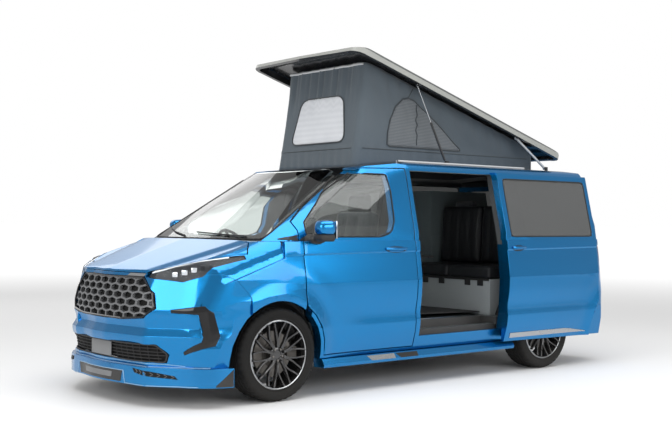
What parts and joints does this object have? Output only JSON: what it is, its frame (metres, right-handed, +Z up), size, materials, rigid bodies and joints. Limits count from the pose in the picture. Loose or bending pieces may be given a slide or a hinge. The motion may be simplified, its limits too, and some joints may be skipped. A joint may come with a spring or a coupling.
{
  "type": "camper van",
  "caption": "Four-wheeled camper van with hinged front doors, bonnet and tailgate, an open sliding side door, fitted living space and a raised tilting roof with fabric sides.",
  "frame": {"origin": "on the ground below the middle of the van, midway between the bumpers and on the centre plane", "axes": "+X forward, +Y to the van's left, +Z up"},
  "size_m": [5.0731, 2.2746, 2.803],
  "materials": {
    "alloy": "brushed",
    "cabinet": "light laminate",
    "canvas": "woven",
    "chrome": "bright",
    "cloth": "woven",
    "dark_plastic": "matt",
    "glass": "clear",
    "gloss_black": "gloss",
    "iron": "rough",
    "lamp": "clear",
    "leather": "soft grain",
    "lid": "gloss",
    "paint": "gloss metallic",
    "privacy_glass": "dark tinted",
    "red_lamp": "gloss",
    "rim_black": "gloss black",
    "roof_paint": "gloss metallic",
    "steel": "satin",
    "tyre": "matt"
  },
  "bodies": {
    "body": {"side_left": "paint", "side_right": "paint", "roof_panel": "roof_paint", "front_wings": "paint", "front_bumper": "paint", "headlamps": "lamp", "bumper_blades": "gloss_black", "front_splitter": "paint", "grilles": "dark_plastic", "windscreen": "glass", "side_windows": "privacy_glass", "sliding_door": "paint", "sliding_door_glass": "privacy_glass", "rear_bumper": "paint", "tail_lamps": "red_lamp", "side_skirts": "paint", "floor_pan": "steel", "bulkhead": "steel", "wheel_houses": "dark_plastic", "engine_block": "iron", "front_subframe": "steel", "rear_axle": "steel", "dashboard": "dark_plastic", "front_seats": "cloth", "bench_base": "cabinet", "bench_cushions": "cloth", "kitchen_unit": "cabinet", "rear_cupboard": "cabinet", "tent": "canvas", "roof_brackets": "chrome", "awning_rail": "alloy", "slide_rail": "steel"},
    "bonnet": {"bonnet": "paint"},
    "door_left": {"door_left": "paint", "door_glass_left": "glass", "mirror_left": "paint"},
    "door_right": {"door_right": "paint", "door_glass_right": "glass", "mirror_right": "paint"},
    "tailgate": {"tailgate": "paint", "tailgate_glass": "privacy_glass"},
    "knuckle_left": {"knuckle_left": "iron"},
    "knuckle_right": {"knuckle_right": "iron"},
    "wheel_front_left": {"rim_front_left": "rim_black", "tyre_front_left": "tyre"},
    "wheel_front_right": {"rim_front_right": "rim_black", "tyre_front_right": "tyre"},
    "wheel_rear_left": {"rim_rear_left": "rim_black", "tyre_rear_left": "tyre"},
    "wheel_rear_right": {"rim_rear_right": "rim_black", "tyre_rear_right": "tyre"},
    "steering_wheel": {"steering_wheel": "leather"},
    "roof_arms": {"roof_arms": "alloy"},
    "roof_lid": {"roof_lid": "lid"},
    "strut_cylinder_left": {"strut_cylinder_left": "steel"},
    "strut_rod_left": {"strut_rod_left": "chrome"},
    "strut_cylinder_right": {"strut_cylinder_right": "steel"},
    "strut_rod_right": {"strut_rod_right": "chrome"}
  },
  "joints": [
    {"name": "bonnet_hinge", "type": "hinge", "parent": "body", "child": "bonnet", "pos_m": [1.698, 0, 1.203], "axis": [0, -1, 0], "range_deg": [0, 55]},
    {"name": "door_left_hinge", "type": "hinge", "parent": "body", "child": "door_left", "pos_m": [1.303, 1.002, 0.8], "axis": [0, 0, -1], "range_deg": [0, 65]},
    {"name": "door_right_hinge", "type": "hinge", "parent": "body", "child": "door_right", "pos_m": [1.303, -1.002, 0.8], "axis": [0, 0, 1], "range_deg": [0, 65]},
    {"name": "tailgate_hinge", "type": "hinge", "parent": "body", "child": "tailgate", "pos_m": [-2.377, 0, 1.815], "axis": [0, 1, 0], "range_deg": [0, 85]},
    {"name": "steer_left", "type": "hinge", "parent": "body", "child": "knuckle_left", "pos_m": [1.55, 0.815, 0.205], "axis": [0, -0.2262, 0.9741], "range_deg": [-35, 35]},
    {"name": "steer_right", "type": "hinge", "parent": "body", "child": "knuckle_right", "pos_m": [1.55, -0.815, 0.205], "axis": [0, 0.2262, 0.9741], "range_deg": [-35, 35]},
    {"name": "steering_wheel_turn", "type": "hinge", "parent": "body", "child": "steering_wheel", "pos_m": [0.985, -0.44, 1.118], "axis": [-0.8829, 0, 0.4695], "range_deg": [-525, 525]},
    {"name": "spin_front_left", "type": "hinge", "parent": "knuckle_left", "child": "wheel_front_left", "pos_m": [1.55, 0.872, 0.352], "axis": [0, 1, 0], "continuous": true},
    {"name": "spin_front_right", "type": "hinge", "parent": "knuckle_right", "child": "wheel_front_right", "pos_m": [1.55, -0.872, 0.352], "axis": [0, 1, 0], "continuous": true},
    {"name": "spin_rear_left", "type": "hinge", "parent": "body", "child": "wheel_rear_left", "pos_m": [-1.55, 0.872, 0.352], "axis": [0, 1, 0], "continuous": true},
    {"name": "spin_rear_right", "type": "hinge", "parent": "body", "child": "wheel_rear_right", "pos_m": [-1.55, -0.872, 0.352], "axis": [0, 1, 0], "continuous": true},
    {"name": "roof_arm_swing", "type": "hinge", "parent": "body", "child": "roof_arms", "pos_m": [-1.93, 0, 1.894], "axis": [0, 1, 0], "range_deg": [0, 31.5], "deforming": ["tent"]},
    {"name": "roof_lid_tilt", "type": "hinge", "parent": "roof_arms", "child": "roof_lid", "pos_m": [-1.50409, 0, 2.16534], "axis": [0, 1, 0], "range_deg": [-15.01, 0]},
    {"name": "strut_left_swing", "type": "hinge", "parent": "body", "child": "strut_cylinder_left", "pos_m": [-0.54, 0, 1.893], "axis": [0, 1, 0], "range_deg": [0, 60.63]},
    {"name": "strut_left_stroke", "type": "slide", "parent": "strut_cylinder_left", "child": "strut_rod_left", "axis": [-0.4803, 0, -0.8771], "range_m": [0, 0.25701]},
    {"name": "strut_right_swing", "type": "hinge", "parent": "body", "child": "strut_cylinder_right", "pos_m": [-0.54, 0, 1.893], "axis": [0, 1, 0], "range_deg": [0, 60.63]},
    {"name": "strut_right_stroke", "type": "slide", "parent": "strut_cylinder_right", "child": "strut_rod_right", "axis": [-0.4803, 0, -0.8771], "range_m": [0, 0.25701]}
  ],
  "couplings": [
    {"joint": "steer_right", "follows": "steer_left", "ratio": 1},
    {"joint": "steering_wheel_turn", "follows": "steer_left", "ratio": 15},
    {"joint": "roof_lid_tilt", "follows": "roof_arm_swing", "ratio": -0.47619},
    {"joint": "strut_left_swing", "follows": "roof_arm_swing", "ratio": 1.9244},
    {"joint": "strut_left_stroke", "follows": "roof_arm_swing", "m_per_rad": 0.46712},
    {"joint": "strut_right_swing", "follows": "roof_arm_swing", "ratio": 1.9244},
    {"joint": "strut_right_stroke", "follows": "roof_arm_swing", "m_per_rad": 0.46712}
  ]
}
